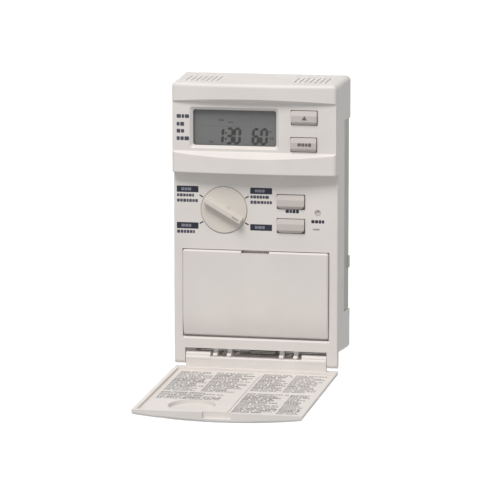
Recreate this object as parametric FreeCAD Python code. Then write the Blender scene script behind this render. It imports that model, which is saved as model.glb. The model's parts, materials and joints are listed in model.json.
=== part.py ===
"""Wall thermostat with a flip-down door, millimetres.

X runs to the right, Y into the wall and Z up. The origin is the centre of the wall
plate's two screw holes, on the wall's surface, so the front faces -Y.
"""
import FreeCAD, Part
import os

V = FreeCAD.Vector

# ---- Overall size: the case is a little wider and taller at the wall than at its front ----
FRONT_HALF_W = 38.2
BACK_HALF_W = 39.4
TOP_FRONT_Z = 64.7
TOP_BACK_Z = 66.3
LOW_FRONT_Z = -59.9
LOW_BACK_Z = -61.0
HEAD_FACE_Y = -30.0         # the head's front at its two sides
PANEL_Y = -25.6             # front of the lower panel, behind the door
CASE_BACK_Y = -0.3
WALL = 2.0                  # sides, top and bottom of the case
FRONT_WALL = 2.2
BULGE = 2.3                 # how far the head and door crown forwards in the middle
BULGE_R = (FRONT_HALF_W ** 2 + BULGE ** 2) / (2 * BULGE)
CROWN_Y = HEAD_FACE_Y - BULGE
BULGE_AXIS_Y = CROWN_Y + BULGE_R
SIDE_EDGE_R = 2.2
VENT_PITCH = 2.4
VENT_W = 0.4
FRONT_EDGE_R = 1.8          # round the head's face, except along its lower edge
LOWER_EDGE_R = 0.6
PANEL_EDGE_R = 0.8

# ---- Head: two crowned bands with a flat display panel between them ----
HEAD_BOTTOM_Z = 23.2
DISPLAY_Y = -29.3
DISPLAY_WALL = 2.0
UPPER_BAND_Z = 55.9
UPPER_BAND_RISE = 0.57      # rise of the slope under the upper band for each mm forwards
LOWER_BAND_Z = 33.3
WINDOW_X = (-28.7, 10.1)
WINDOW_Z = (35.8, 52.2)
WINDOW_BEVEL = 1.3
WINDOW_CORNER_R = 1.1
WINDOW_FLANGE_T = 0.9
GLASS_X = (-31.1, 13.3)
GLASS_Z = (32.6, 55.2)
GLASS_Y = (-26.1, -24.1)
STRIP_ZS = ((33.0, 34.8), (52.9, 54.7))

# ---- Circuit board and what stands on it ----
BOARD_X = (-34.5, 34.5)
BOARD_Z = (-11.0, 60.5)
BOARD_FRONT_Y = -17.0
BOARD_T = 1.6
BOARD_BACK_Y = BOARD_FRONT_Y + BOARD_T
BOARD_SCREWS = [(-31.5, 28.0), (31.5, 57.2), (-31.5, -7.5), (31.5, -7.5)]
BOSS_R = 2.6
SCREW_R = 1.0

# ---- Buttons: a wedge-shaped cap, a flange behind the wall and a stem to its switch ----
PRESS = 0.6
BUTTON_GAP = 0.3
BUTTON_PROUD = 1.4
BUTTON_TOP_PROUD = 0.6
BUTTON_BREAK = 0.15         # the cap's face starts to slope back this share of its height above centre
BUTTON_LIP_H = 1.3          # height of the slope under the cap's face
FLANGE = 0.9
FLANGE_T = 0.8
SWITCH_TOP_Y = BOARD_FRONT_Y - 4.3
STEM_END_Y = SWITCH_TOP_Y - PRESS - 0.05
BUTTONS = {
    # name: (centre x, centre z, width, height, y of the surface round it, wall there,
    #        radius of the lower corners)
    "up_button": (23.3, 49.6, 11.8, 6.3, DISPLAY_Y, DISPLAY_WALL, 1.0),
    "down_button": (23.1, 37.3, 11.8, 6.3, DISPLAY_Y, DISPLAY_WALL, 1.0),
    "hold_button": (16.5, 10.35, 12.6, 6.4, PANEL_Y, FRONT_WALL, 2.2),
    "next_button": (16.5, -0.75, 12.6, 6.4, PANEL_Y, FRONT_WALL, 2.2),
}
RESET_X, RESET_Z = 29.0, 5.6
RESET_R = 1.35
RESET_GAP = 0.1
SWITCH_SIZE = 6.0

# ---- Dial ----
DIAL_X, DIAL_Z = -14.75, 5.8
DIAL_R = 10.7
DIAL_RIM_T = 0.7            # thickness of the knob's rim
DIAL_PROUD = 0.5
DIAL_SEAT = 0.5             # depth of the shallow seat round the rim
DIAL_BODY_R = 9.3           # the knob behind its rim
POINTER_HALF_L = 10.0
POINTER_FACE_HALF_W = 1.25
POINTER_FOOT_HALF_W = 1.8
DIAL_GAP = 0.3
POINTER_DEG = 150.0
SHAFT_R = 2.5
SHAFT_FRONT_Y = -27.4
SHAFT_FLAT = 1.8            # distance of the shaft's flat from its axis
SHAFT_FLAT_END_Y = -22.2

# ---- Battery bay ----
COVER_HALF_W = 34.1
COVER_Z = (-52.8, -12.9)
COVER_GAP = 0.3             # at the lid's two sides
COVER_TOP_GAP = 0.3
COVER_LOW_GAP = 0.95        # below the lid, over a small bevel
COVER_BEVEL = 0.9
COVER_PROUD = 1.6
COVER_CURVE_H = 11.0        # height over which the lid's front curves in at the bottom
COVER_CURVE_IN = 1.55
FINGER_SLOT = (13.2, 1.1)
CELL_R = 7.2
CELL_LEN = 50.5
CELL_Y = -16.1
CELL_ZS = (-25.2, -41.6)
TRAY_FLOOR_Y = CELL_Y + CELL_R + 0.2
TRAY_HALF_W = 33.4
CONTACT_X = TRAY_HALF_W - 0.4

# ---- Door and its hinge ----
HINGE_Y = -23.6
HINGE_Z = -63.9
DOOR_OPEN_DEG = 92.3
DOOR_TOP_Z = HEAD_BOTTOM_Z - 0.4
DOOR_RIM_Y = HINGE_Y - 4.1
DOOR_FLOOR_Y = DOOR_RIM_Y - 1.2
DOOR_LOW_Z = HINGE_Z - 0.3
WEB_TOP_Z = HINGE_Z + 1.9
EAR_INNER_X = 33.3
EAR_R = 2.0
EAR_DROP = 0.7              # how far the ears' rounded ends reach below the barrels
PEG_R = 1.2
PEG_LEN = 2.4
PEG_GAP = 0.07
KNUCKLE_X = (21.5, 33.0)
KNUCKLE_BACK_R = 1.7        # second, lower barrel behind each knuckle
RIB_X = 3.2                 # low rib that divides the door's inner floor
LUG_XS = (-19.2, -12.7, 11.9, 18.6)
LUG_W = 1.9
LUG_REACH = 5.3             # the lugs' tips meet the back of the front strip and stop the open door
NUB_R = 0.95                # rounded nub in front of each lug
STRIP_LOW_Z = -59.0
POCKET_TOP_Z = -56.8
POCKET_BACK_Y = -13.6
CHEEK_X = 35.3              # outside of the cheeks that close the pocket's two ends
INLET_HALF_W = 31.0         # air inlet from the pocket into the case
INLET_Z = (-64.6, -57.4)
BELLY_LOW_Z = -66.4
BELLY_HALF_W = 33.0

# ---- Wall plate ----
PLATE_T = 2.2
PLATE_X = 36.6
PLATE_Z = (-57.6, 63.3)
PLATE_TAB_Z = BELLY_LOW_Z + WALL + 0.4
SCREW_PITCH = 83.3
SCREW_HOLE_R = 2.2
WIRE_X = (-16.0, 16.0)
WIRE_Z = (-3.0, 13.0)
NOTCH_Z = (-42.0, 47.0)
NOTCH_Y = -12.5
FLANGE_X = 38.7
GRIP_Z = (-22.8, -17.4)     # small grip on each flange
GRIP_X = 39.3
TERMINALS = 6
TERMINAL_PITCH = 9.0
BLOCK_Z = (18.0, 30.5)
BLOCK_Y = (-11.2, -PLATE_T)
PIN_Z = (27.2, 28.0)


# ---------------------------------------------------------------- helpers
def box(x, y, z):
    """A box from three (low, high) pairs."""
    lows = [min(pair) for pair in (x, y, z)]
    sizes = [abs(pair[1] - pair[0]) for pair in (x, y, z)]
    return Part.makeBox(*sizes, V(*lows))


def rod(centre, direction, radius, length):
    return Part.makeCylinder(radius, length, V(*centre), V(*direction))


def prism_x(points, x0, x1):
    """Extrude a closed outline of (y, z) points from x0 to x1."""
    wire = Part.makePolygon([V(x0, y, z) for y, z in points + points[:1]])
    return Part.Face(wire).extrude(V(x1 - x0, 0, 0))


def fuse(shapes):
    first, rest = shapes[0], shapes[1:]
    return (first.fuse(rest) if rest else first).removeSplitter()


def cut(shape, tools):
    return shape.cut(tools).removeSplitter()


def group(shapes):
    return Part.makeCompound(shapes)


def case_section(y, inset):
    """The case's outline at depth y, moved inwards by inset."""
    t = (y - HEAD_FACE_Y) / -HEAD_FACE_Y
    half = FRONT_HALF_W + (BACK_HALF_W - FRONT_HALF_W) * t - inset
    top = TOP_FRONT_Z + (TOP_BACK_Z - TOP_FRONT_Z) * t - inset
    low = LOW_FRONT_Z + (LOW_BACK_Z - LOW_FRONT_Z) * t + inset
    corners = [(-half, low), (half, low), (half, top), (-half, top)]
    return Part.makePolygon([V(x, y, z) for x, z in corners + corners[:1]])


def case_block(y0, y1, inset=0.0, edge_r=0.0):
    """A tapered block of the case's outline between two depths."""
    block = Part.makeLoft([case_section(y0, inset), case_section(y1, inset)], True, True)
    if edge_r:
        long_edges = [e for e in block.Edges if e.BoundBox.YLength > 0.9 * abs(y1 - y0)]
        block = block.makeFillet(edge_r, long_edges)
    return block


def crown(extra=0.0, z0=-90.0, z1=90.0):
    """The cylinder whose front is the crowned face of the head and the door."""
    return rod((0, BULGE_AXIS_Y, z0), (0, 0, 1), BULGE_R + extra, z1 - z0)


def edges_near(shape, test):
    return [e for e in shape.Edges if test(e.BoundBox)]


def rounded_plate(x, y, z, low_r, top_r):
    """A box whose four edges along Y are rounded, the lower two and the upper two."""
    plate = box(x, y, z)
    middle = sum(z) / 2
    plate = plate.makeFillet(low_r, edges_near(plate, lambda b: b.ZMax < middle and b.XLength < 0.1))
    top_edges = edges_near(plate, lambda b: b.ZMin > middle and b.XLength < 0.1)
    return plate.makeFillet(top_r, top_edges)


# ---------------------------------------------------------------- case
def display_recess():
    """What is taken off the crowned head to leave the flat display panel.

    Both ends are sloping planes, so the slopes narrow towards the two sides.
    """
    reach = 8.0
    return prism_x([(DISPLAY_Y, LOWER_BAND_Z), (DISPLAY_Y, UPPER_BAND_Z),
                    (DISPLAY_Y - reach, UPPER_BAND_Z + UPPER_BAND_RISE * reach),
                    (DISPLAY_Y - reach, LOWER_BAND_Z - reach)], -60, 60)


def slab_above(low_z):
    return box((-50, 50), (-40, 5), (low_z, 80))


def slab_below(high_z):
    return box((-50, 50), (-40, 5), (-80, high_z))


def case_outside():
    whole = case_block(-36.0, CASE_BACK_Y, edge_r=SIDE_EDGE_R)
    head = whole.common(crown()).common(slab_above(HEAD_BOTTOM_Z - 10))
    face_edges = edges_near(head, lambda b: b.YMax < HEAD_FACE_Y + 0.6 and b.ZMax > HEAD_BOTTOM_Z)
    head = head.makeFillet(FRONT_EDGE_R, face_edges).common(slab_above(HEAD_BOTTOM_Z))
    low_edges = edges_near(head, lambda b: b.YMax < HEAD_FACE_Y + 2.5 and b.ZMax < HEAD_BOTTOM_Z + 0.1)
    head = head.makeFillet(LOWER_EDGE_R, low_edges)
    head = head.cut(display_recess())
    lower = whole.common(slab_below(HEAD_BOTTOM_Z + 1)).common(box((-50, 50), (PANEL_Y, 5), (-80, 80)))
    rail_edges = edges_near(lower, lambda b: b.YMax < PANEL_Y + 0.1 and b.ZLength > 50)
    lower = lower.makeFillet(PANEL_EDGE_R, rail_edges)
    return fuse([head, lower])


def hinge_pocket():
    """Walls of the pocket behind the front strip, where the door's web and lugs swing."""
    whole_x = (-CHEEK_X, CHEEK_X)
    back = POCKET_BACK_Y + WALL
    walls = [box(whole_x, (PANEL_Y + FRONT_WALL - 0.1, back), (POCKET_TOP_Z + WALL, LOW_FRONT_Z + 0.4)),
             box(whole_x, (POCKET_BACK_Y, back), (BELLY_LOW_Z, POCKET_TOP_Z))]
    for side in (-1, 1):
        cheek_x = (side * EAR_INNER_X, side * CHEEK_X)
        walls.append(box(cheek_x, (HINGE_Y, back), (BELLY_LOW_Z, POCKET_TOP_Z)))
    return walls


def belly_outside():
    return box((-BELLY_HALF_W, BELLY_HALF_W), (POCKET_BACK_Y, CASE_BACK_Y), (BELLY_LOW_Z, -56.0))


def belly_inside():
    half = BELLY_HALF_W - WALL
    return box((-half, half), (POCKET_BACK_Y + WALL, 5), (BELLY_LOW_Z + WALL, -54.0))


def ears():
    """The two hinge ears below the case's front corners."""
    found = []
    foot_z = HINGE_Z - EAR_DROP
    for side in (-1, 1):
        x = (side * EAR_INNER_X, side * FRONT_HALF_W)
        stem = box(x, (PANEL_Y, PANEL_Y + 2 * EAR_R), (foot_z, LOW_FRONT_Z + 3.0))
        foot = rod((min(x), HINGE_Y, foot_z), (1, 0, 0), EAR_R, FRONT_HALF_W - EAR_INNER_X)
        found += [stem, foot]
    return found


def vent_slots():
    """Slots over both ends of the top, and under the bottom, for the room's air."""
    slots = []
    for start in (-33.0, 17.4):
        for i in range(7):
            x = start + VENT_PITCH * i
            slots.append(box((x, x + VENT_W), (-24.0, -10.0), (60.0, 70.0)))
    for side in (-1, 1):
        for i in range(3):
            x = side * (12.4 + 6.2 * i)
            slots.append(box((x - 0.9, x + 0.9), (-10.0, -4.0), (-70.0, BELLY_LOW_Z + WALL + 1.0)))
    return slots


def window_outline(y, grow):
    """The display opening's rounded outline at depth y, widened by grow on every side."""
    x0, x1 = WINDOW_X[0] - grow, WINDOW_X[1] + grow
    z0, z1 = WINDOW_Z[0] - grow, WINDOW_Z[1] + grow
    r = WINDOW_CORNER_R
    slant = r * (1 - 0.5 ** 0.5)
    corners = [((x0, z0 + r), (x0 + slant, z0 + slant), (x0 + r, z0)),
               ((x1 - r, z0), (x1 - slant, z0 + slant), (x1, z0 + r)),
               ((x1, z1 - r), (x1 - slant, z1 - slant), (x1 - r, z1)),
               ((x0 + r, z1), (x0 + slant, z1 - slant), (x0, z1 - r))]
    edges = []
    for i, corner in enumerate(corners):
        start, middle, end = [V(x, y, z) for x, z in corner]
        edges.append(Part.Arc(start, middle, end).toShape())
        x, z = corners[(i + 1) % 4][0]
        edges.append(Part.makeLine(end, V(x, y, z)))
    return Part.Wire(edges)


def window_opening():
    """The display's opening, with a bevel round its front edge."""
    straight = Part.Face(window_outline(DISPLAY_Y - 5, 0.0)).extrude(V(0, 15, 0))
    bevel = Part.makeLoft([window_outline(DISPLAY_Y - 0.1, WINDOW_BEVEL + 0.1),
                           window_outline(DISPLAY_Y + WINDOW_BEVEL, 0.0)], True, True)
    return straight.fuse(bevel)


def button_openings():
    tools = []
    for x, z, w, h, y, _, _ in BUTTONS.values():
        half_w, half_h = w / 2 + BUTTON_GAP, h / 2 + BUTTON_GAP
        tools.append(box((x - half_w, x + half_w), (y - 5, y + 8), (z - half_h, z + half_h)))
    tools.append(rod((RESET_X, PANEL_Y - 1, RESET_Z), (0, 1, 0), RESET_R + RESET_GAP, 6))
    return tools


def board_boss(x, z):
    """A post from the front wall to the board, with a blind hole for its screw."""
    start = (DISPLAY_Y + DISPLAY_WALL if z > HEAD_BOTTOM_Z else PANEL_Y + FRONT_WALL) - 0.3
    post = rod((x, start, z), (0, 1, 0), BOSS_R, BOARD_FRONT_Y - start)
    hole = rod((x, BOARD_FRONT_Y - 5.6, z), (0, 1, 0), SCREW_R + 0.04, 6)
    return post.cut(hole)


def cover_opening():
    """The lid's opening, bevelled along its lower edge."""
    w = COVER_HALF_W + COVER_GAP
    low = COVER_Z[0] - COVER_LOW_GAP
    back = PANEL_Y + FRONT_WALL + 0.5
    opening = box((-w, w), (PANEL_Y - 1, back), (low, COVER_Z[1] + COVER_TOP_GAP))
    bevel = prism_x([(PANEL_Y - 0.2, low + 0.2), (PANEL_Y - 0.2, low - COVER_BEVEL - 0.2),
                     (PANEL_Y + COVER_BEVEL + 0.2, low + 0.2)], -w, w)
    return opening.fuse(bevel)


def side_notches():
    """Cut-outs at the back of both side walls, which the wall plate's flanges fill."""
    return [box((side * 34.0, side * 42.0), (NOTCH_Y, 5), NOTCH_Z) for side in (-1, 1)]


def dial_opening():
    """Shallow seat for the knob's rim, and the hole behind it."""
    front = (DIAL_X, PANEL_Y - 1, DIAL_Z)
    return [rod(front, (0, 1, 0), DIAL_R + DIAL_GAP, 1 + DIAL_SEAT),
            rod(front, (0, 1, 0), DIAL_BODY_R + DIAL_GAP, 6)]


def front_housing():
    outside = fuse([case_outside(), belly_outside()] + ears())
    lower_room = case_block(PANEL_Y + FRONT_WALL, 1.0, WALL).common(slab_below(HEAD_BOTTOM_Z + 2.0))
    head_room = case_block(DISPLAY_Y + DISPLAY_WALL, 1.0, WALL).common(slab_above(HEAD_BOTTOM_Z + WALL))
    shell = outside.cut([lower_room, head_room, belly_inside()])
    shell = fuse([shell] + hinge_pocket() + [board_boss(x, z) for x, z in BOARD_SCREWS])
    between_ears = (-EAR_INNER_X, EAR_INNER_X)
    pocket = box(between_ears, (PANEL_Y + FRONT_WALL, POCKET_BACK_Y), (POCKET_TOP_Z, -75))
    under_strip = box(between_ears, (-30, PANEL_Y + FRONT_WALL + 0.1), (STRIP_LOW_Z, -75))
    peg_holes = []
    for side in (-1, 1):
        start = (side * (EAR_INNER_X - 1.0), HINGE_Y, HINGE_Z)
        peg_holes.append(rod(start, (side, 0, 0), PEG_R + PEG_GAP, PEG_LEN + 1.4))
    hooks = [box((x - 3.2, x + 3.2), (-5.4, -2.6), (60, 65.1)) for x in (-20.0, 20.0)]
    inlet = box((-INLET_HALF_W, INLET_HALF_W), (POCKET_BACK_Y - 1, POCKET_BACK_Y + WALL + 1), INLET_Z)
    latch = box((-6.3, 6.3), (-6.2, -3.2), (-68, BELLY_LOW_Z + WALL + 1.0))
    tools = [pocket, under_strip, cover_opening(), window_opening(), latch, inlet]
    tools += peg_holes + hooks + dial_opening() + vent_slots() + button_openings() + side_notches()
    return cut(shell, tools)


# ---------------------------------------------------------------- wall plate
def wall_plate():
    z0, z1 = PLATE_Z
    parts = [box((-PLATE_X + 0.3, PLATE_X - 0.3), (-PLATE_T, 0), (z0, z1)),
             box((-30.6, 30.6), (-PLATE_T, 0), (PLATE_TAB_Z, z0 + 1))]
    for side in (-1, 1):
        notch_low, notch_high = NOTCH_Z[0] + 0.3, NOTCH_Z[1] - 0.3
        parts.append(box((side * 34.9, side * FLANGE_X), (NOTCH_Y + 0.3, 0), (notch_low, notch_high)))
        parts.append(box((side * 38.0, side * GRIP_X), (-4.0, 0), GRIP_Z))
    for x in (-20.0, 20.0):
        parts.append(box((x - 2.9, x + 2.9), (-5.0, -PLATE_T), (z1 - 1.8, z1)))
        parts.append(box((x - 2.9, x + 2.9), (-5.0, -2.9), (z1 - 0.1, z1 + 1.6)))
    parts.append(box((-6.0, 6.0), (-9.0, -PLATE_T + 0.1), (PLATE_TAB_Z, PLATE_TAB_Z + 1.4)))
    parts.append(box((-6.0, 6.0), (-5.8, -3.6), (PLATE_TAB_Z - 1.6, PLATE_TAB_Z + 0.1)))
    for x in (-32.0, 32.0):
        parts.append(box((x - 0.8, x + 0.8), (-6.0, -PLATE_T + 0.1), (-55.0, 60.0)))
    plate = fuse(parts)
    tools = [box(WIRE_X, (-9, 1), WIRE_Z)]
    for z in (-SCREW_PITCH / 2, SCREW_PITCH / 2):
        tools.append(rod((0, -9, z), (0, 1, 0), SCREW_HOLE_R, 12))
        tools.append(rod((0, -9, z), (0, 1, 0), 4.6, 9 - PLATE_T + 0.7))
    return cut(plate, tools)


def terminal_xs():
    return [(i - (TERMINALS - 1) / 2) * TERMINAL_PITCH for i in range(TERMINALS)]


def terminal_block():
    half = TERMINALS * TERMINAL_PITCH / 2 + 1.0
    body = box((-half, half), BLOCK_Y, BLOCK_Z)
    tools = []
    for x in terminal_xs():
        tools.append(rod((x, BLOCK_Y[0] - 1, 22.0), (0, 1, 0), 3.3, 3.4))
        tools.append(rod((x, BLOCK_Y[0] - 1, 22.0), (0, 1, 0), 1.55, 8.2))
        tools.append(box((x - 2.4, x + 2.4), (-7.6, -4.2), (BLOCK_Z[0] - 1, 21.0)))
        tools.append(box((x - 1.3, x + 1.3), (BLOCK_Y[0] - 1, -4.4), (26.8, 28.4)))
    return cut(body, tools)


def terminal_screws():
    """Clamp screws, one in each terminal, with a slotted pan head."""
    screws = []
    for x in terminal_xs():
        head = rod((x, BLOCK_Y[0] + 0.3, 22.0), (0, 1, 0), 2.8, 1.8)
        shank = rod((x, BLOCK_Y[0] + 2.0, 22.0), (0, 1, 0), 1.45, 4.4)
        slot = box((x - 3, x + 3), (BLOCK_Y[0] - 1, BLOCK_Y[0] + 1.1), (21.6, 22.4))
        screws.append(head.fuse(shank).cut(slot))
    return group(screws)


# ---------------------------------------------------------------- display
def lcd_window():
    """Clear window, stepped so that its flange rests behind the display's wall."""
    x0, x1 = WINDOW_X
    z0, z1 = WINDOW_Z
    inner = DISPLAY_Y + DISPLAY_WALL
    pane_y = (DISPLAY_Y + WINDOW_BEVEL + 0.2, inner + 0.5)
    corner = WINDOW_CORNER_R
    pane = rounded_plate((x0 + 0.1, x1 - 0.1), pane_y, (z0 + 0.1, z1 - 0.1), corner, corner)
    flange = box((x0 - 1.8, x1 + 1.8), (inner, inner + WINDOW_FLANGE_T), (z0 - 1.8, z1 + 1.8))
    return fuse([pane, flange])


def lcd_panel():
    return box(GLASS_X, GLASS_Y, GLASS_Z)


def lcd_reflector():
    x = (GLASS_X[0] + 0.4, GLASS_X[1] - 0.4)
    return box(x, (GLASS_Y[1], GLASS_Y[1] + 0.3), (STRIP_ZS[0][1] + 0.2, STRIP_ZS[1][0] - 0.2))


def lcd_holder():
    """Frame on the board that carries the display and its two contact strips."""
    x0, x1 = GLASS_X
    z0, z1 = GLASS_Z
    body = box((x0 - 1.5, x1 + 1.5), (GLASS_Y[0] - 0.1, BOARD_FRONT_Y), (z0 - 1.5, z1 + 1.5))
    tools = [box((x0 - 0.1, x1 + 0.1), (-30, GLASS_Y[1] + 0.3), (z0 - 0.1, z1 + 0.1)),
             box((x0 + 2.4, x1 - 2.4), (-30, -18.6), (37.3, 51.3))]
    for low, high in STRIP_ZS:
        tools.append(box((x0 + 0.8, x1 - 0.8), (-30, -10), (low - 0.1, high + 0.1)))
    return cut(body, tools)


def contact_strips():
    x = (GLASS_X[0] + 1.0, GLASS_X[1] - 1.0)
    return group([box(x, (GLASS_Y[1], BOARD_FRONT_Y), span) for span in STRIP_ZS])


# ---------------------------------------------------------------- circuit board
def main_board():
    board = box(BOARD_X, (BOARD_FRONT_Y, BOARD_BACK_Y), BOARD_Z)
    return cut(board, [rod((x, -20, z), (0, 1, 0), 1.2, 8) for x, z in BOARD_SCREWS])


def board_screws():
    screws = []
    for x, z in BOARD_SCREWS:
        head = rod((x, BOARD_BACK_Y, z), (0, 1, 0), 2.1, 1.5)
        shank = rod((x, BOARD_FRONT_Y - 4.8, z), (0, 1, 0), SCREW_R, 4.8 + BOARD_T)
        slot = box((x - 1.6, x + 1.6), (BOARD_BACK_Y + 0.8, 0), (z - 0.3, z + 0.3))
        screws.append(head.fuse(shank).cut(slot))
    return group(screws)


def header_pins():
    """Flat pins behind the board, one for each wall-plate terminal."""
    return group([box((x - 0.8, x + 0.8), (BOARD_BACK_Y, -6.0), PIN_Z) for x in terminal_xs()])


def header_bar():
    """Plastic bar that holds the pins."""
    bar = box((-25.5, 25.5), (BOARD_BACK_Y, BOARD_BACK_Y + 2.6), (25.6, 29.6))
    return bar.cut([box((x - 0.8, x + 0.8), (-20, 0), PIN_Z) for x in terminal_xs()])


def relays():
    """Two switching relays behind the board's upper part."""
    found = []
    for x in (-17.0, 17.0):
        case = box((x - 7.8, x + 7.8), (BOARD_BACK_Y, BOARD_BACK_Y + 10.4), (44.8, 55.2))
        found.append(case.makeFillet(0.6, case.Edges))
    return group(found)


def microcontroller():
    """Flat chip with leads on its two long sides, behind the display."""
    y = BOARD_BACK_Y
    chip = box((-7.0, 7.0), (y + 0.2, y + 2.2), (34.4, 41.0))
    leads = []
    for i in range(12):
        x = -6.05 + 1.1 * i
        leads.append(box((x - 0.2, x + 0.2), (y, y + 0.5), (32.9, 34.5)))
        leads.append(box((x - 0.2, x + 0.2), (y, y + 0.5), (40.9, 42.5)))
    return fuse([chip] + leads)


def crystal():
    can = box((-25.2, -15.4), (BOARD_BACK_Y, BOARD_BACK_Y + 3.4), (37.0, 40.6))
    tall = edges_near(can, lambda b: b.YLength > 3)
    return can.makeFillet(1.7, tall)


def capacitors():
    spots = ((25.5, 37.0, 3.1, 9.0), (18.0, 37.0, 2.5, 7.0), (-29.5, 12.0, 2.5, 7.0))
    cans = []
    for x, z, r, tall in spots:
        can = rod((x, BOARD_BACK_Y, z), (0, 1, 0), r, tall)
        cans.append(can.makeFillet(0.4, edges_near(can, lambda b: b.YMin > -14 and b.XLength > r)))
    return group(cans)


def thermistor():
    """Bead on two legs, low on the board, where the room's air enters."""
    bead = Part.makeSphere(1.5, V(27.0, BOARD_BACK_Y + 6.0, -3.0))
    legs = [rod((x, BOARD_BACK_Y, -3.0), (0, 1, 0), 0.25, 5.6) for x in (26.2, 27.8)]
    return fuse([bead] + legs)


def switch_places():
    return [(x, z) for x, z, *_ in BUTTONS.values()] + [(RESET_X, RESET_Z)]


def tact_switches():
    half = SWITCH_SIZE / 2
    found = []
    for x, z in switch_places():
        base = box((x - half, x + half), (BOARD_FRONT_Y - 3.5, BOARD_FRONT_Y), (z - half, z + half))
        plunger = rod((x, SWITCH_TOP_Y, z), (0, 1, 0), 1.7, 1.0)
        found.append(base.fuse(plunger))
    return group(found)


# ---------------------------------------------------------------- controls
def push_button(name):
    """Cap that slopes out from its top edge to a flat lower half, with rounded lower corners."""
    x, z, w, h, y, wall, low_r = BUTTONS[name]
    low, high = z - h / 2, z + h / 2
    back = y + wall + 0.2
    out = y - BUTTON_PROUD
    left, right = x - w / 2, x + w / 2
    side = prism_x([(back, low), (back, high), (y - BUTTON_TOP_PROUD, high), (out, z + BUTTON_BREAK * h),
                    (out, low + BUTTON_LIP_H), (y - 0.2, low)], left, right)
    cap = side.common(rounded_plate((left, right), (out - 1, back + 1), (low, high), low_r, 0.5))
    flange_z = (low - FLANGE, high + FLANGE)
    flange = box((left - FLANGE, right + FLANGE), (back, back + FLANGE_T), flange_z)
    if back + FLANGE_T > STEM_END_Y - 0.3:
        return fuse([cap, flange])
    stem = rod((x, back, z), (0, 1, 0), 1.7, STEM_END_Y - back)
    return fuse([cap, flange, stem])


def reset_button():
    """Small plunger in a hole, pressed with a pin, with a dimple in its end."""
    top = PANEL_Y + 0.4
    back = PANEL_Y + FRONT_WALL + 0.2
    pin = rod((RESET_X, top, RESET_Z), (0, 1, 0), RESET_R, back - top)
    flange = rod((RESET_X, back, RESET_Z), (0, 1, 0), RESET_R + 1.0, STEM_END_Y - back)
    dimple = Part.makeSphere(0.9, V(RESET_X, top - 0.4, RESET_Z))
    return fuse([pin, flange]).cut(dimple)


def rotary_switch():
    """Four-position switch on the board, with a bore for the dial's shaft."""
    size = 8.5
    body_y = (BOARD_FRONT_Y - 3.6, BOARD_FRONT_Y)
    body = box((DIAL_X - size, DIAL_X + size), body_y, (DIAL_Z - size, DIAL_Z + size))
    collar = rod((DIAL_X, BOARD_FRONT_Y - 4.6, DIAL_Z), (0, 1, 0), 4.5, 1.1)
    bore = rod((DIAL_X, -30, DIAL_Z), (0, 1, 0), SHAFT_R + 0.05, 30 + BOARD_FRONT_Y - 0.6)
    return cut(fuse([body, collar]), [bore])


def shaft_flat():
    """What is taken off one side of the shaft's front end to key it to the knob."""
    flat = box((-4, 4), (SHAFT_FRONT_Y - 1, SHAFT_FLAT_END_Y), (SHAFT_FLAT, 4))
    flat.translate(V(DIAL_X, 0, DIAL_Z))
    return flat


def dial_shaft():
    back = BOARD_FRONT_Y - 0.8
    return rod((DIAL_X, SHAFT_FRONT_Y, DIAL_Z), (0, 1, 0), SHAFT_R, back - SHAFT_FRONT_Y).cut(shaft_flat())


def pointer_bar():
    """Bar with sloping sides and rounded ends, drawn along X."""
    foot_y, face_y = PANEL_Y - 0.4, PANEL_Y - 4.0
    foot, face = POINTER_FOOT_HALF_W, POINTER_FACE_HALF_W
    bar = prism_x([(foot_y, -foot), (foot_y, foot), (face_y, face), (face_y, -face)],
                  -POINTER_HALF_L, POINTER_HALF_L)
    bar = bar.makeFillet(0.5, edges_near(bar, lambda b: b.YMax < face_y + 0.1))
    whole_y = (face_y - 1, foot_y + 1)
    ends = rounded_plate((-POINTER_HALF_L, POINTER_HALF_L), whole_y, (-foot, foot), 1.2, 1.2)
    return bar.common(ends)


def dial_knob():
    """Disc with a raised pointer bar across it, drawn with the bar along X and then turned."""
    rim = rod((0, PANEL_Y - DIAL_PROUD, 0), (0, 1, 0), DIAL_R, DIAL_RIM_T)
    rim = rim.makeFillet(0.4, edges_near(rim, lambda b: b.YMax < PANEL_Y - 0.4 and b.XLength > DIAL_R))
    body = rod((0, PANEL_Y - DIAL_PROUD + 0.1, 0), (0, 1, 0), DIAL_BODY_R, 2.4)
    skirt = rod((0, PANEL_Y + 1.9, 0), (0, 1, 0), 4.2, 1.6)
    knob = fuse([rim, body, skirt, pointer_bar()])
    knob.rotate(V(0, 0, 0), V(0, 1, 0), -POINTER_DEG)
    knob.translate(V(DIAL_X, 0, DIAL_Z))
    socket = rod((DIAL_X, SHAFT_FRONT_Y, DIAL_Z), (0, 1, 0), SHAFT_R, 10).cut(shaft_flat())
    return knob.cut(socket)


# ---------------------------------------------------------------- batteries
def battery_tray():
    """Box behind the cover: floor, four walls and a rib between the two cells."""
    wall = 1.2
    front = PANEL_Y + FRONT_WALL + 0.1
    outer = box((-TRAY_HALF_W - wall, TRAY_HALF_W + wall), (front, TRAY_FLOOR_Y + wall), (-53.9, -13.0))
    inner = box((-TRAY_HALF_W, TRAY_HALF_W), (-30, TRAY_FLOOR_Y), (-53.9 + wall, -13.0 - wall))
    rib_z = sum(CELL_ZS) / 2
    rib = box((-22, 22), (-18.0, TRAY_FLOOR_Y + 0.1), (rib_z - 0.6, rib_z + 0.6))
    return fuse([outer.cut(inner), rib])


def cell_sides():
    """Each cell's height, and the side its positive end points to."""
    return list(zip(CELL_ZS, (1, -1)))


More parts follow.
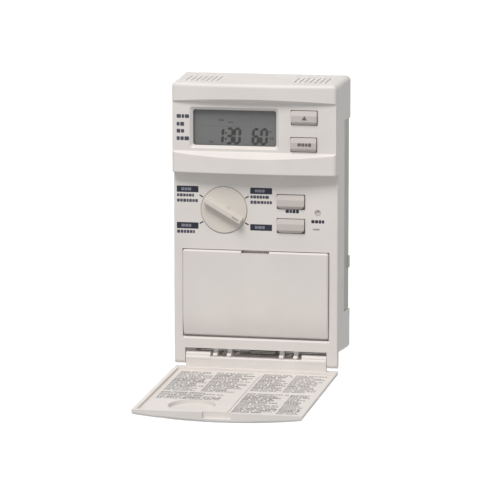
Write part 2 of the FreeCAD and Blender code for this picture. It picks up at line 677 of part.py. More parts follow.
def battery_cells():
    cells = []
    for z, side in cell_sides():
        body = rod((-side * CELL_LEN / 2, CELL_Y, z), (side, 0, 0), CELL_R, CELL_LEN - 1.2)
        body = body.makeFillet(0.5, edges_near(body, lambda b: b.YLength > CELL_R))
        button = rod((side * (CELL_LEN / 2 - 1.3), CELL_Y, z), (side, 0, 0), 2.7, 1.3)
        cells.append(body.fuse(button))
    return group(cells)


def battery_springs():
    """Coil spring at each cell's negative end, drawn as rings joined by two wires."""
    ring_r, wire_r = 3.6, 0.4
    length = CONTACT_X - CELL_LEN / 2 - 2 * wire_r
    springs = []
    for z, side in cell_sides():
        start = -side * (CONTACT_X - wire_r)
        rings = []
        for i in range(5):
            middle = V(start + side * length * i / 4, CELL_Y, z)
            rings.append(Part.makeTorus(ring_r, wire_r, middle, V(1, 0, 0)))
        wires = [rod((start, CELL_Y, z + up * ring_r), (side, 0, 0), 0.3, length) for up in (-1, 1)]
        springs.append(fuse(rings + wires))
    return group(springs)


def battery_plates():
    """Sheet contacts: one each for the springs and one each for the positive ends."""
    plates = []
    for z, side in cell_sides():
        for end in (-side, side):
            x = (end * CONTACT_X, end * TRAY_HALF_W)
            plate = box(x, (CELL_Y - 5.0, CELL_Y + 5.0), (z - 5.5, z + 5.5))
            if end == side:
                reach = (end * (CELL_LEN / 2 + 0.05), end * (CONTACT_X + 0.1))
                plate = plate.fuse(box(reach, (CELL_Y - 2, CELL_Y + 2), (z - 2, z + 2)))
            plates.append(plate)
    return group(plates)


def battery_cover():
    """Lid whose front curves inwards towards its lower edge, with a finger slot at the top."""
    z0, z1 = COVER_Z
    front = PANEL_Y - COVER_PROUD
    back = PANEL_Y + FRONT_WALL - 0.9
    curve_r = (COVER_CURVE_H ** 2 + COVER_CURVE_IN ** 2) / (2 * COVER_CURVE_IN)
    body = box((-COVER_HALF_W, COVER_HALF_W), (front, back), (z0, z1))
    body = body.makeFillet(1.0, edges_near(body, lambda b: b.YLength > 1))
    keep = rod((-40, front + curve_r, z0 + COVER_CURVE_H), (1, 0, 0), curve_r, 80)
    upper = box((-40, 40), (front - 1, back + 1), (z0 + COVER_CURVE_H, z1 + 1))
    body = body.common(keep.fuse(upper)).removeSplitter()
    rim = edges_near(body, lambda b: b.YMax < PANEL_Y and b.ZMax > z0 + 1)
    body = body.makeFillet(0.9, rim)
    inner_half = COVER_HALF_W - 1.8
    hollow = box((-inner_half, inner_half), (front + 1.6, back + 1), (z0 + 3.0, z1 - 3.2))
    slot_w, slot_h = FINGER_SLOT
    slot = box((-slot_w / 2, slot_w / 2), (front - 1, back + 1), (z1 - slot_h, z1 + 1))
    return cut(body, [hollow, slot])


# ---------------------------------------------------------------- door
def turned_open(shape):
    """Swing a shape drawn with the door closed down to its open place."""
    shape.rotate(V(0, HINGE_Y, HINGE_Z), V(1, 0, 0), DOOR_OPEN_DEG)
    return shape


def door_panel():
    """Crowned panel with a recessed inner floor, drawn closed."""
    slab = box((-FRONT_HALF_W, FRONT_HALF_W), (-36, DOOR_RIM_Y), (DOOR_LOW_Z, DOOR_TOP_Z))
    slab = slab.common(crown())
    slab = slab.makeFillet(1.2, edges_near(slab, lambda b: b.YMax < HEAD_FACE_Y + 0.01))
    recess = box((-36.4, 36.4), (DOOR_FLOOR_Y, DOOR_RIM_Y + 1), (DOOR_LOW_Z + 4.0, DOOR_TOP_Z - 2.0))
    dial_room = rod((DIAL_X, DOOR_RIM_Y - 3.0, DIAL_Z), (0, 1, 0), POINTER_HALF_L + 0.6, 5)
    finger = box((-6.4, 6.4), (DOOR_RIM_Y - 2.8, DOOR_RIM_Y + 1), (DOOR_TOP_Z - 1.9, DOOR_TOP_Z + 1))
    rib_y = (DOOR_FLOOR_Y + 0.4, DOOR_FLOOR_Y - 0.5)
    rib = box((RIB_X - 0.6, RIB_X + 0.6), rib_y, (-53.0, DOOR_TOP_Z - 4.0))
    return slab.cut([recess, dial_room, finger]).fuse(rib)


def door_web():
    """The leg that carries the panel from its hinge pegs, drawn closed."""
    ridge_y = HINGE_Y + 0.9
    web = box((-33.0, 33.0), (DOOR_RIM_Y - 0.2, ridge_y), (DOOR_LOW_Z, WEB_TOP_Z))
    web = web.makeFillet(0.7, edges_near(web, lambda b: b.YMin > ridge_y - 0.01 and b.XLength > 50))
    pieces = [web]
    for side in (-1, 1):
        x0 = side * KNUCKLE_X[0]
        length = KNUCKLE_X[1] - KNUCKLE_X[0]
        pieces.append(rod((x0, HINGE_Y, HINGE_Z), (side, 0, 0), EAR_R, length))
        pieces.append(rod((x0, HINGE_Y + 1.4, HINGE_Z - 0.2), (side, 0, 0), KNUCKLE_BACK_R, length))
        peg_reach = EAR_INNER_X + PEG_LEN - KNUCKLE_X[0]
        pieces.append(rod((x0, HINGE_Y, HINGE_Z), (side, 0, 0), PEG_R, peg_reach))
    for x in LUG_XS:
        lug = [(ridge_y - 1.0, HINGE_Z), (ridge_y + 1.9, HINGE_Z - 0.3),
               (HINGE_Y + LUG_REACH, HINGE_Z - 0.7), (HINGE_Y + LUG_REACH, HINGE_Z - 2.1),
               (ridge_y + 0.3, HINGE_Z - 2.1), (ridge_y - 1.0, HINGE_Z - 0.8)]
        pieces.append(prism_x(lug, x - LUG_W / 2, x + LUG_W / 2))
        pieces.append(rod((x - LUG_W / 2, HINGE_Y + 1.7, HINGE_Z + 0.7), (1, 0, 0), NUB_R, LUG_W))
    return pieces


def door():
    return turned_open(fuse([door_panel()] + door_web()))


# ---------------------------------------------------------------- write every piece
PIECES = {
    "front_housing": front_housing,
    "wall_plate": wall_plate,
    "terminal_block": terminal_block,
    "terminal_screws": terminal_screws,
    "lcd_window": lcd_window,
    "lcd_panel": lcd_panel,
    "lcd_reflector": lcd_reflector,
    "lcd_holder": lcd_holder,
    "contact_strips": contact_strips,
    "main_board": main_board,
    "board_screws": board_screws,
    "header_pins": header_pins,
    "header_bar": header_bar,
    "relays": relays,
    "microcontroller": microcontroller,
    "crystal": crystal,
    "capacitors": capacitors,
    "thermistor": thermistor,
    "tact_switches": tact_switches,
    "reset_button": reset_button,
    "rotary_switch": rotary_switch,
    "dial_shaft": dial_shaft,
    "dial_knob": dial_knob,
    "battery_tray": battery_tray,
    "battery_cells": battery_cells,
    "battery_springs": battery_springs,
    "battery_plates": battery_plates,
    "battery_cover": battery_cover,
    "door": door,
}

os.makedirs("parts", exist_ok=True)
for name, make in PIECES.items():
    make().exportStep(f"parts/{name}.step")
for name in BUTTONS:
    push_button(name).exportStep(f"parts/{name}.step")
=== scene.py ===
"""Looks of the wall thermostat: materials, printed marks, display figures, studio and camera.

Lengths on the thermostat are written in millimetres and turned into metres by mm(). X is
right, Y into the wall and Z up. Marks on the display, the keys and the dial lie on their CAD
nodes' boxes, and those on the case and in the door lie at the named depths of its panels.
"""
import bmesh
import bpy
import json
import math
import random
from mathutils import Matrix, Vector


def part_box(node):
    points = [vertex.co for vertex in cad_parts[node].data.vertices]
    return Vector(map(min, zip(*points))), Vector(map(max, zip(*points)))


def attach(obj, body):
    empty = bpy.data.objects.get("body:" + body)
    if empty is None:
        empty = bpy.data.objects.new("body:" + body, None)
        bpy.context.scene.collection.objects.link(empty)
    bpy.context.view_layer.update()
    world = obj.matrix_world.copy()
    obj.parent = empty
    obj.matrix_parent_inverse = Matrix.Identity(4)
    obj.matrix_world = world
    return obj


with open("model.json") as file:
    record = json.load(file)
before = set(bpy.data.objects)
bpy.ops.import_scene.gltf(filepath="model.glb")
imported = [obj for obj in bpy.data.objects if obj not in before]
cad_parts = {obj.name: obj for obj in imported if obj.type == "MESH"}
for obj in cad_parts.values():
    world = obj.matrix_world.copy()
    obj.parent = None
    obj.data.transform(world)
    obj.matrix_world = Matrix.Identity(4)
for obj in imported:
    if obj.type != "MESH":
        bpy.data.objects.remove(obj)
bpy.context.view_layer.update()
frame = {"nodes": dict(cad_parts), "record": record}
rng = random.Random(7)


def mm(value):
    return value / 1000.0


# ---------------------------------------------------------------- places taken from the frame
JOINTS = {j["name"]: j for j in frame["record"]["behaviour"]["joints"]}
HINGE = Vector(JOINTS["door_hinge"]["pos_m"])
DOOR_SWING = math.radians(JOINTS["door_hinge"]["range_deg"][1])
DIAL = Vector(JOINTS["dial_turn"]["pos_m"])


def centre(node):
    low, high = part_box(node)
    return (low + high) / 2


# ---------------------------------------------------------------- materials
def principled(name, colour, roughness, **sockets):
    """A material whose shader is returned with its node tree, ready for texture nodes."""
    material = bpy.data.materials.new(name)
    material.use_nodes = True
    tree = material.node_tree
    shader = tree.nodes["Principled BSDF"]
    shader.inputs["Base Color"].default_value = (*colour, 1.0)
    shader.inputs["Roughness"].default_value = roughness
    for socket, value in sockets.items():
        shader.inputs[socket.replace("_", " ")].default_value = value
    return material, tree, shader


def in_object_space(tree, texture):
    coordinates = tree.nodes.new("ShaderNodeTexCoord")
    tree.links.new(coordinates.outputs["Object"], texture.inputs["Vector"])


def noise(tree, scale, detail=3.0, roughness=0.5):
    """A noise texture whose scale is in repeats per metre of the object."""
    texture = tree.nodes.new("ShaderNodeTexNoise")
    in_object_space(tree, texture)
    texture.inputs["Scale"].default_value = scale
    texture.inputs["Detail"].default_value = detail
    texture.inputs["Roughness"].default_value = roughness
    return texture.outputs["Fac"]


def vary_colour(tree, shader, fac, dark, light):
    ramp = tree.nodes.new("ShaderNodeValToRGB")
    ramp.color_ramp.elements[0].position = 0.3
    ramp.color_ramp.elements[1].position = 0.7
    ramp.color_ramp.elements[0].color = (*dark, 1.0)
    ramp.color_ramp.elements[1].color = (*light, 1.0)
    tree.links.new(fac, ramp.inputs["Fac"])
    tree.links.new(ramp.outputs["Color"], shader.inputs["Base Color"])


def vary_roughness(tree, shader, fac, low, high):
    spread = tree.nodes.new("ShaderNodeMapRange")
    spread.inputs["To Min"].default_value = low
    spread.inputs["To Max"].default_value = high
    tree.links.new(fac, spread.inputs["Value"])
    tree.links.new(spread.outputs["Result"], shader.inputs["Roughness"])


def bump(tree, shader, fac, strength, distance):
    node = tree.nodes.new("ShaderNodeBump")
    node.inputs["Strength"].default_value = strength
    node.inputs["Distance"].default_value = distance
    tree.links.new(fac, node.inputs["Height"])
    tree.links.new(node.outputs["Normal"], shader.inputs["Normal"])


def scaled(colour, factor):
    return tuple(min(1.0, c * factor) for c in colour)


def moulded(name, colour, roughness, grain=mm(0.012), variation=0.03, **sockets):
    """Moulded plastic: spark-eroded grain, faint flow marks in the colour and uneven gloss."""
    material, tree, shader = principled(name, colour, roughness, **sockets)
    cloudy = noise(tree, 45.0, detail=2.0)
    vary_colour(tree, shader, cloudy, scaled(colour, 1 - variation), scaled(colour, 1 + variation))
    vary_roughness(tree, shader, noise(tree, 120.0), roughness - 0.06, roughness + 0.06)
    bump(tree, shader, noise(tree, 2600.0, detail=4.0), 0.35, grain)
    return material


def metal(name, colour, roughness):
    """Plated or drawn metal with fine scratches."""
    material, tree, shader = principled(name, colour, roughness, Metallic=1.0)
    vary_colour(tree, shader, noise(tree, 300.0), scaled(colour, 0.9), scaled(colour, 1.05))
    vary_roughness(tree, shader, noise(tree, 900.0), roughness - 0.08, roughness + 0.1)
    bump(tree, shader, noise(tree, 5200.0, detail=6.0), 0.2, mm(0.01))
    return material


def ink(name, colour, roughness=0.5):
    """Pad-printed ink, slightly uneven in density."""
    material, tree, shader = principled(name, colour, roughness)
    vary_colour(tree, shader, noise(tree, 1800.0, detail=5.0), scaled(colour, 0.82), scaled(colour, 1.2))
    bump(tree, shader, noise(tree, 3000.0), 0.15, mm(0.006))
    return material


def clear_plastic(name):
    """Clear moulded window with a faint ripple."""
    material, tree, shader = principled(name, (0.97, 0.98, 0.97), 0.06, Alpha=0.02, IOR=1.3)
    bump(tree, shader, noise(tree, 160.0, detail=1.0), 0.06, mm(0.02))
    vary_roughness(tree, shader, noise(tree, 400.0), 0.04, 0.12)
    return material


def display_face(name):
    """Grey liquid-crystal glass: polariser mottling over a satin reflector."""
    colour = (0.150, 0.151, 0.149)
    material, tree, shader = principled(name, colour, 0.42)
    mottling = noise(tree, 2200.0, detail=6.0, roughness=0.7)
    vary_colour(tree, shader, mottling, scaled(colour, 0.94), scaled(colour, 1.07))
    vary_roughness(tree, shader, noise(tree, 700.0), 0.36, 0.5)
    return material


def circuit_laminate(name):
    """Green solder mask with a faint weave under it."""
    colour = (0.02, 0.12, 0.045)
    material, tree, shader = principled(name, colour, 0.38)
    weave = tree.nodes.new("ShaderNodeTexWave")
    weave.inputs["Scale"].default_value = 900.0
    weave.inputs["Distortion"].default_value = 0.6
    in_object_space(tree, weave)
    vary_colour(tree, shader, weave.outputs["Fac"], scaled(colour, 0.85), scaled(colour, 1.25))
    bump(tree, shader, weave.outputs["Fac"], 0.15, mm(0.01))
    return material


WARM_WHITE = (0.735, 0.690, 0.655)
CASE = moulded("warm_white_plastic", WARM_WHITE, 0.5)
# The door is the case's plastic painted a touch lighter: painted light on its floor, which faces up.
DOOR = moulded("door_plastic_painted_lighter", scaled(WARM_WHITE, 1.02), 0.46)
# The lid is the case's plastic painted a touch darker: painted shade.
LID = moulded("lid_plastic_painted_darker", scaled(WARM_WHITE, 0.985), 0.44)
KEY = moulded("key_plastic", (0.54, 0.495, 0.46), 0.42, grain=mm(0.006))
KNOB = moulded("knob_plastic", (0.67, 0.62, 0.56), 0.38, grain=mm(0.005))
PLATE = moulded("plate_plastic", (0.50, 0.49, 0.44), 0.6)
BLACK = moulded("black_plastic", (0.022, 0.022, 0.024), 0.45, variation=0.2)
TERMINAL = moulded("terminal_plastic", (0.03, 0.12, 0.06), 0.45, variation=0.1)
RELAY = moulded("relay_plastic", (0.02, 0.05, 0.20), 0.3, variation=0.1)
SLEEVE = moulded("capacitor_sleeve", (0.012, 0.016, 0.06), 0.25, variation=0.1)
JACKET = moulded("cell_jacket", (0.42, 0.22, 0.04), 0.3, grain=mm(0.003), variation=0.12, Metallic=0.4)
EPOXY = moulded("bead_epoxy", (0.04, 0.02, 0.01), 0.2)
STRIP = moulded("strip_rubber", (0.25, 0.26, 0.28), 0.7, variation=0.15)
FILM = moulded("reflector_film", (0.4, 0.41, 0.38), 0.4)
STEEL = metal("plated_steel", (0.62, 0.62, 0.62), 0.35)
BRASS = metal("tinned_brass", (0.72, 0.58, 0.32), 0.3)
WINDOW = clear_plastic("clear_window")
LCD = display_face("lcd_grey")
BOARD = circuit_laminate("solder_mask")
NAVY = ink("navy_ink", (0.020, 0.022, 0.040))
WORD_INK = ink("word_ink", (0.065, 0.065, 0.090))
KEY_INK = ink("key_ink", (0.130, 0.120, 0.100))
GREY_INK = ink("grey_ink", (0.27, 0.265, 0.27))
DARK_GREY_INK = ink("dark_grey_ink", (0.11, 0.11, 0.125))
POINTER_INK = ink("pointer_ink", (0.40, 0.36, 0.31))
# A colour for a line paler than the door's floor
PALE_LINE_COLOUR = ink("door_pale_line_colour", (0.80, 0.79, 0.78))
PALE_INK = ink("pale_ink", (0.22, 0.22, 0.26))
SEGMENT = ink("segment_dark", (0.014, 0.015, 0.012), 0.6)
GHOST = ink("segment_shadow", (0.075, 0.076, 0.074), 0.4)
FAINT_SEGMENT = ink("segment_faint", (0.070, 0.071, 0.070), 0.4)
FAINT_RULE = ink("rule_faint", (0.118, 0.120, 0.118), 0.4)

NODE_MATERIALS = {
    CASE: ["front_housing", "battery_tray"],
    DOOR: ["door"],
    LID: ["battery_cover"],
    KEY: ["up_button", "down_button", "hold_button", "next_button", "reset_button"],
    KNOB: ["dial_knob", "dial_shaft"],
    PLATE: ["wall_plate"],
    BLACK: ["lcd_holder", "header_bar", "microcontroller", "tact_switches", "rotary_switch"],
    TERMINAL: ["terminal_block"],
    RELAY: ["relays"],
    SLEEVE: ["capacitors"],
    JACKET: ["battery_cells"],
    EPOXY: ["thermistor"],
    STRIP: ["contact_strips"],
    FILM: ["lcd_reflector"],
    STEEL: ["terminal_screws", "board_screws", "crystal", "battery_springs", "battery_plates"],
    BRASS: ["header_pins"],
    WINDOW: ["lcd_window"],
    LCD: ["lcd_panel"],
    BOARD: ["main_board"],
}


def dress_cad_nodes():
    for material, names in NODE_MATERIALS.items():
        for name in names:
            node = frame["nodes"][name]
            node.data.materials.clear()
            node.data.materials.append(material)


# ---------------------------------------------------------------- printed marks
INK_T = mm(0.03)
SINK = mm(0.02)             # how far the marks reach into the surface they lie on
CORNER_STEPS = 2
# The blocks that stand in for letters, in shares of the height of their word
LETTER_W, LETTER_GAP, LETTER_CORNER = 0.95, 0.16, 0.15
# The least and greatest width of a word in a line, and the gap after it, in the same shares
WORD_WIDTHS, WORD_GAP = (2.0, 6.5), 0.7

# Each sheet of marks is drawn flat, as (across, up) with the ink rising towards the reader,
# and is then laid on its surface by on_front or on_open_door.
FACING_ROOM = Matrix(((1, 0, 0, 0), (0, 0, -1, 0), (0, 1, 0, 0), (0, 0, 0, 1)))


def on_front(y):
    """Lay a sheet on a surface that faces the room at depth y."""
    return Matrix.Translation((0, y, 0)) @ FACING_ROOM


def on_open_door(y_closed):
    """Lay a sheet on the door's inner floor.

    The sheet is drawn as the open door is read: across is X, and up runs from the free
    edge towards the hinge, measured from the hinge's axis.
    """
    drop = HINGE.y - y_closed
    inner = Matrix.Translation((0, 0, -drop))
    tilt = Matrix.Rotation(DOOR_SWING - math.pi / 2, 4, "X")
    return Matrix.Translation(HINGE) @ tilt @ inner


def rounded_outline(x, y, w, h, r):
    """Corner points of a rectangle with rounded corners, counter-clockwise."""
    r = min(r, w / 2, h / 2)
    points = []
    for cx, cy, start in ((x + w / 2 - r, y + h / 2 - r, 0), (x - w / 2 + r, y + h / 2 - r, 90),
                          (x - w / 2 + r, y - h / 2 + r, 180), (x + w / 2 - r, y - h / 2 + r, 270)):
        for i in range(CORNER_STEPS + 1):
            a = math.radians(start + 90 * i / CORNER_STEPS)
            points.append((cx + r * math.cos(a), cy + r * math.sin(a)))
    return points


class Sheet:
    """Flat marks gathered into one mesh."""

    def __init__(self):
        self.mesh = bmesh.new()

    def outline(self, points):
        low = [self.mesh.verts.new((x, y, -SINK)) for x, y in points]
        high = [self.mesh.verts.new((x, y, INK_T)) for x, y in points]
        self.mesh.faces.new(high)
        self.mesh.faces.new(low[::-1])
        for i in range(len(points)):
            j = (i + 1) % len(points)
            self.mesh.faces.new((low[i], low[j], high[j], high[i]))

    def bar(self, x, y, w, h, r):
        self.outline(rounded_outline(x, y, w, h, r))

    def stroke(self, start, end, width):
        a, b = Vector(start), Vector(end)
        side = (b - a).normalized().orthogonal() * width / 2
        self.outline([tuple(p)[:2] for p in (a - side, b - side, b + side, a + side)])

    def word(self, x, y, w, h):
        """A stand-in for a printed word: a row of plain blocks of uneven width."""
        count = max(1, round(w / (LETTER_W * h)))
        shares = [rng.uniform(0.7, 1.3) for _ in range(count)]
        gap = LETTER_GAP * h
        room = w - gap * (count - 1)
        left = x - w / 2
        for share in shares:
            block = room * share / sum(shares)
            self.bar(left + block / 2, y, block, h * rng.uniform(0.86, 1.0), r=LETTER_CORNER * h)
            left += block + gap

    def line(self, x0, x1, y, h):
        """A line of small print: words of uneven length between two ends."""
        x = x0
        while x < x1 - h:
            w = min(rng.uniform(*WORD_WIDTHS) * h, x1 - x)
            self.word(x + w / 2, y, w, h)
            x += w + WORD_GAP * h

    def place(self, name, lay, body, material):
        bmesh.ops.recalc_face_normals(self.mesh, faces=self.mesh.faces)
        data = bpy.data.meshes.new(name)
        self.mesh.to_mesh(data)
        self.mesh.free()
        data.transform(lay)
        data.materials.append(material)
        piece = bpy.data.objects.new(name, data)
        bpy.context.scene.collection.objects.link(piece)
        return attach(piece, body)


# ---------------------------------------------------------------- display
SEGMENTS = {"0": "abcdef", "1": "bc", "3": "abcdg", "6": "acdefg"}
DIGIT_W, DIGIT_H, SEG_W = mm(2.5), mm(6.7), mm(1.15)
SEG_GAP = mm(0.12)
LEAN = 0.07                 # how far the figures lean for each unit of height
FIGURES_Z = mm(36.8)        # lower edge of the figures
FIGURES = (("1", -17.9), ("3", -13.4), ("0", -9.95), ("6", -1.2), ("0", 2.6))
COLON_X, COLON_SIZE = -13.9, mm(0.75)
COLON_RISES = (0.3, 0.68)   # of the two dots, in shares of the figures' height
COLON_LEAN = 0.5            # how far the colon leans over that height
SHADOW_SHIFT = (mm(-0.3), mm(-0.15))
SHADOW_DEPTH, RULES_DEPTH = mm(0.015), mm(0.01)     # behind the figures' own layer
# (centre x, centre z, width, height) of the display's faint marks and rules
SMALL_MARKS = ((-15.8, 47.3, 2.2, 1.1), (-11.4, 46.4, 2.6, 0.8), (-20.5, 37.2, 1.8, 1.0),
               (7.0, 42.4, 1.2, 1.0), (7.7, 39.4, 2.0, 1.2))
RULES = ((-15.4, 44.5, 21.0, 0.35), (-1.9, 48.0, 0.3, 7.0))


def digit(sheet, char, x, y, dx=0.0, dy=0.0):
    """A seven-segment figure with its lower left corner at (x, y), leaning a little."""
    w, h, t = DIGIT_W, DIGIT_H, SEG_W
    ends = {"a": ((0, h), (w, h)), "b": ((w, h), (w, h / 2)), "c": ((w, h / 2), (w, 0)),
            "d": ((w, 0), (0, 0)), "e": ((0, 0), (0, h / 2)), "f": ((0, h / 2), (0, h)),
            "g": ((0, h / 2), (w, h / 2))}
    for name in SEGMENTS[char]:
        a, b = Vector(ends[name][0]), Vector(ends[name][1])
        along = (b - a).normalized() * (SEG_GAP + t / 2)
        a, b = a + along, b - along
        side = Vector((-along.y, along.x)).normalized() * t / 2
        tip = along.normalized() * t / 2
        shape = [a - tip, a - side, b - side, b + tip, b + side, a + side]
        sheet.outline([(x + p.x + LEAN * p.y + dx, y + p.y + dy) for p in shape])


def display_marks(dx=0.0, dy=0.0):
    """The time on the left and the temperature on the right, in one sheet."""
    sheet = Sheet()
    for char, x in FIGURES:
        digit(sheet, char, mm(x), FIGURES_Z, dx, dy)
    for up in COLON_RISES:
        x = mm(COLON_X + COLON_LEAN * up) + dx
        sheet.bar(x, FIGURES_Z + up * DIGIT_H + dy, COLON_SIZE, COLON_SIZE, r=mm(0.1))
    return sheet


def make_display():
    """The dark figures with their faint shadow, and the display's faint small marks and rules."""
    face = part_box("lcd_panel")[0].y
    display_marks().place("display_figures", on_front(face), "case", SEGMENT)
    shadow = display_marks(*SHADOW_SHIFT)
    shadow.place("display_shadow", on_front(face + SHADOW_DEPTH), "case", GHOST)
    small = Sheet()
    for mark in SMALL_MARKS:
        small.word(*[mm(value) for value in mark])
    small.place("display_small_marks", on_front(face), "case", FAINT_SEGMENT)
    rules = Sheet()
    for rule in RULES:
        rules.bar(*[mm(value) for value in rule], r=0)
    rules.place("display_rules", on_front(face + RULES_DEPTH), "case", FAINT_RULE)


# ---------------------------------------------------------------- marks on the case and keys
DISPLAY_PANEL_Y = mm(-29.3)
LOWER_PANEL_Y = mm(-25.6)
DAY_WORDS_LEFT, DAY_WORD_H = mm(-36.1), mm(1.9)
DAY_WORDS = ((5.8, 49.1), (3.5, 45.5), (3.5, 42.3), (5.8, 38.9))    # (width, height on the wall)


def make_day_words():
    """Four words beside the display, the first and last the longest."""
    sheet = Sheet()
    for width, z in DAY_WORDS:
        sheet.word(DAY_WORDS_LEFT + mm(width) / 2, mm(z), mm(width), DAY_WORD_H)
    sheet.place("day_words", on_front(DISPLAY_PANEL_Y), "case", WORD_INK)


# (left edge, top of the block, widths of the lines of print under it), beside the dial
DIAL_LABELS = ((-37.0, 16.5, (8.0, 9.8)), (-2.5, 16.5, (8.6, 10.0)),
               (-37.0, -0.4, (8.4,)), (-2.5, -0.4, ()))
BLOCK_W, BLOCK_H = mm(10.2), mm(2.9)
BLOCK_WORD_W, BLOCK_WORD_H = mm(4.6), mm(1.4)
LABEL_WORD_H = mm(1.5)
LABEL_FIRST_LINE, LABEL_PITCH = 4.3, 2.45       # down from the block's top


def make_dial_labels():
    """A dark block with a pale word at each of the dial's settings, and print under most."""
    blocks, words, light = Sheet(), Sheet(), Sheet()
    for left, top, lines in DIAL_LABELS:
        cx = mm(left) + BLOCK_W / 2
        blocks.bar(cx, mm(top) - BLOCK_H / 2, BLOCK_W, BLOCK_H, r=mm(0.15))
        light.word(cx - mm(0.6), mm(top) - BLOCK_H / 2, BLOCK_WORD_W, BLOCK_WORD_H)
        for i, width in enumerate(lines):
            x = mm(left) + mm(width) / 2 + mm(0.1)
            drop = mm(LABEL_FIRST_LINE + LABEL_PITCH * i)
            words.word(x, mm(top) - drop, mm(width), LABEL_WORD_H)
    blocks.place("label_blocks", on_front(LOWER_PANEL_Y), "case", NAVY)
    words.place("label_words", on_front(LOWER_PANEL_Y), "case", WORD_INK)
    light.place("label_block_words", on_front(LOWER_PANEL_Y - INK_T), "case", PALE_INK)


DIAL_SETTINGS = (150.0, 30.0, 210.0, -30.0)     # degrees, from X towards Z
READING_END = DIAL_SETTINGS[-1]                 # where the marked end of the pointer bar rests
# (near end, far end, width) of the lines that point away from the dial's hub
TICK = (mm(11.3), mm(13.3), mm(0.55))
POINTER_LINE = (mm(5.2), mm(8.6), mm(0.75))


def dial_stroke(sheet, degrees, near, far, width):
    """A short line that points away from the dial's hub, between two distances from it."""
    turn = math.radians(degrees)
    along = Vector((math.cos(turn), math.sin(turn), 0))
    hub = Vector((DIAL.x, DIAL.z, 0))
    sheet.stroke(hub + along * near, hub + along * far, width)


def make_dial_ticks():
    sheet = Sheet()
    for degrees in DIAL_SETTINGS:
        dial_stroke(sheet, degrees, *TICK)
    sheet.place("dial_ticks", on_front(LOWER_PANEL_Y), "case", NAVY)


KEY_WORD_H = mm(1.6)
HOLD_WORD_Z, RESET_WORD_Z, FAINT_WORD_Z = mm(6.0), mm(1.6), mm(-2.0)
ARROW_HALF_W, ARROW_TOP, ARROW_FOOT = mm(1.2), mm(1.1), mm(0.9)


def make_key_marks():
    """Plain words under and on the keys, and an arrow on the upper one."""
    up = centre("up_button")
    down = centre("down_button")
    hold = centre("hold_button")
    reset = centre("reset_button")
    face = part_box("up_button")[0].y
    arrow = Sheet()
    x, z = up.x + mm(0.3), up.z - mm(0.1)
    foot = z - ARROW_FOOT
    arrow.outline([(x, z + ARROW_TOP), (x - ARROW_HALF_W, foot), (x + ARROW_HALF_W, foot)])
    arrow.place("arrow_mark", on_front(face), "up_key", KEY_INK)
    word = Sheet()
    word.word(down.x + mm(0.5), down.z + mm(0.1), mm(6.3), KEY_WORD_H)
    word.place("down_word", on_front(face), "down_key", KEY_INK)
    below = Sheet()
    below.word(hold.x + mm(0.6), HOLD_WORD_Z, mm(6.2), KEY_WORD_H)
    below.word(reset.x, RESET_WORD_Z, mm(6.0), KEY_WORD_H)
    below.place("key_words", on_front(LOWER_PANEL_Y), "case", NAVY)
    faint = Sheet()
    faint.word(reset.x - mm(0.7), FAINT_WORD_Z, mm(3.0), mm(0.9))
    faint.place("faint_word", on_front(LOWER_PANEL_Y), "case", GREY_INK)


def make_dial_pointer_mark():
    """A short pressed line near the end of the pointer bar that reads the setting."""
    sheet = Sheet()
    dial_stroke(sheet, READING_END, *POINTER_LINE)
    sheet.place("pointer_mark", on_front(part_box("dial_knob")[0].y), "dial", POINTER_INK)


# ---------------------------------------------------------------- print inside the door
DOOR_FLOOR_Y = mm(-28.9)
DOOR_LINE_H = mm(1.35)
DOOR_LINE_PITCH = mm(2.25)
DOOR_BOLD_SHARE = 0.25
DOOR_LINE_ENDS = (0.0, 0.0, 0.12, 0.3)      # shares of a line that may stay blank at its end
# (left, right, highest line, number of lines): heights run down from the hinge to the free edge
DOOR_BLOCKS = ((-34.0, -17.6, -7.0, 17), (-16.8, 1.6, -7.0, 17), (-34.0, -5.0, -47.0, 6),
               (5.0, 19.0, -7.0, 15), (20.0, 34.5, -7.0, 15),
               (5.0, 24.0, -44.5, 17), (25.0, 34.5, -44.5, 17))
# (across, up, width, thickness) of a line paler than the door's floor, from the rib to the right rim
DOOR_PALE_LINE = (19.5, -41.0, 29.5, 0.8)


def make_door_print():
    """Columns of small print each side of the rib, leaving the dial's recess clear."""
    lay = on_open_door(DOOR_FLOOR_Y)
    small, bold, rule = Sheet(), Sheet(), Sheet()
    for x0, x1, top, rows in DOOR_BLOCKS:
        for i in range(rows):
            end = x1 - rng.choice(DOOR_LINE_ENDS) * (x1 - x0)
            sheet = bold if rng.random() < DOOR_BOLD_SHARE else small
            sheet.line(mm(x0), mm(end), mm(top) - i * DOOR_LINE_PITCH, DOOR_LINE_H)
    rule.bar(*[mm(value) for value in DOOR_PALE_LINE], r=0)
    small.place("door_small_print", lay, "door", GREY_INK)
    bold.place("door_bold_print", lay, "door", DARK_GREY_INK)
    rule.place("door_pale_line", lay, "door", PALE_LINE_COLOUR)


# ---------------------------------------------------------------- studio and camera
FLOOR_Z = mm(-900.0)
FLOOR_HALF_W = 1.0
# The backdrop, in metres: a flat floor between two depths, a quarter circle and a wall
SWEEP_FRONT_Y, SWEEP_CURVE_Y = -0.5, 1.2
SWEEP_R, SWEEP_TOP = 0.7, 1.5
SWEEP_STEPS = 12
OBJECT_MIDDLE = (0, -0.02, 0)
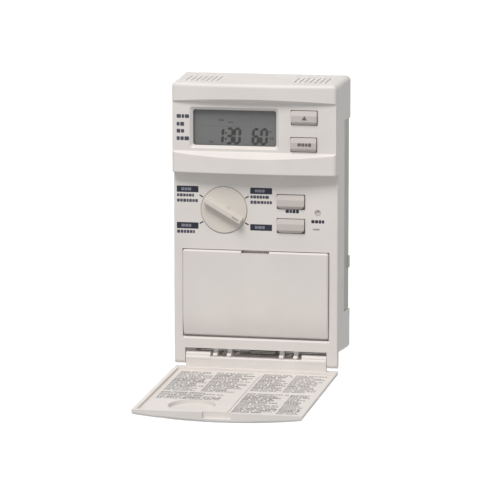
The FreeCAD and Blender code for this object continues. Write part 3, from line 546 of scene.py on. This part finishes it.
# (name, place, target, width and height, watts, colour), in metres: a large light high in
# front, a weak one beside the camera and one that lifts the backdrop
LIGHTS = (("key_light", (-0.15, -1.17, 1.67), OBJECT_MIDDLE, (1.0, 0.8), 31.5, (1.0, 0.98, 0.965)),
          ("fill_light", (-0.25, -2.0, 0.15), OBJECT_MIDDLE, (0.9, 0.7), 1.75, (1.0, 0.985, 0.975)),
          ("backdrop_light", (0, 1.25, 1.25), (0, 2.25, 0.25), (2.0, 0.4), 31.0, (1.0, 1.0, 1.0)))
WORLD_COLOUR, WORLD_STRENGTH = (0.95, 0.98, 1.0, 1.0), 0.45
AZIMUTH, ELEVATION = 11.86, 8.93
CAMERA_DISTANCE = mm(1554.5)
LOOK_AT = Vector((mm(-4.83), mm(-15.0), mm(-14.13)))
LENS, SENSOR = 242.2, 36.0


def make_floor():
    """A pale sweep: a floor, a curve and a wall behind, in one sheet."""
    profile = [(SWEEP_FRONT_Y, 0.0), (SWEEP_CURVE_Y, 0.0)]
    for i in range(1, SWEEP_STEPS + 1):
        a = math.radians(90 * i / SWEEP_STEPS)
        profile.append((SWEEP_CURVE_Y + SWEEP_R * math.sin(a), SWEEP_R * (1 - math.cos(a))))
    profile.append((SWEEP_CURVE_Y + SWEEP_R, SWEEP_TOP))
    sweep = bmesh.new()
    rows = []
    for x in (-FLOOR_HALF_W, FLOOR_HALF_W):
        rows.append([sweep.verts.new((x, y, FLOOR_Z + z)) for y, z in profile])
    for i in range(len(profile) - 1):
        sweep.faces.new((rows[0][i], rows[0][i + 1], rows[1][i + 1], rows[1][i]))
    data = bpy.data.meshes.new("studio_floor")
    sweep.to_mesh(data)
    sweep.free()
    material, tree, shader = principled("studio_white", (0.93, 0.93, 0.93), 0.9)
    vary_colour(tree, shader, noise(tree, 3.0), (0.92, 0.92, 0.92), (0.94, 0.94, 0.94))
    data.materials.append(material)
    floor = bpy.data.objects.new("studio_floor", data)
    bpy.context.scene.collection.objects.link(floor)
    for face in data.polygons:
        face.use_smooth = True


def area_light(name, place, target, size, power, colour):
    data = bpy.data.lights.new(name, "AREA")
    data.shape = "RECTANGLE"
    data.size, data.size_y = size
    data.energy = power
    data.color = colour
    lamp = bpy.data.objects.new(name, data)
    lamp.location = place
    lamp.rotation_euler = (Vector(target) - Vector(place)).to_track_quat("-Z", "Y").to_euler()
    bpy.context.scene.collection.objects.link(lamp)


def make_lights():
    world = bpy.data.worlds.new("studio_world")
    world.use_nodes = True
    background = world.node_tree.nodes["Background"]
    background.inputs["Color"].default_value = WORLD_COLOUR
    background.inputs["Strength"].default_value = WORLD_STRENGTH
    bpy.context.scene.world = world
    for light in LIGHTS:
        area_light(*light)


def make_camera():
    a, e = math.radians(AZIMUTH), math.radians(ELEVATION)
    back = Vector((math.sin(a) * math.cos(e), -math.cos(a) * math.cos(e), math.sin(e)))
    data = bpy.data.cameras.new("photo_camera")
    data.lens = LENS
    data.sensor_width = SENSOR
    data.clip_end = 20.0
    camera = bpy.data.objects.new("photo_camera", data)
    camera.location = LOOK_AT + back * CAMERA_DISTANCE
    camera.rotation_euler = (-back).to_track_quat("-Z", "Y").to_euler()
    bpy.context.scene.collection.objects.link(camera)
    bpy.context.scene.camera = camera


dress_cad_nodes()
make_display()
make_day_words()
make_dial_labels()
make_dial_ticks()
make_key_marks()
make_dial_pointer_mark()
make_door_print()
make_floor()
make_lights()
make_camera()
bpy.context.scene.view_settings.view_transform = "Standard"
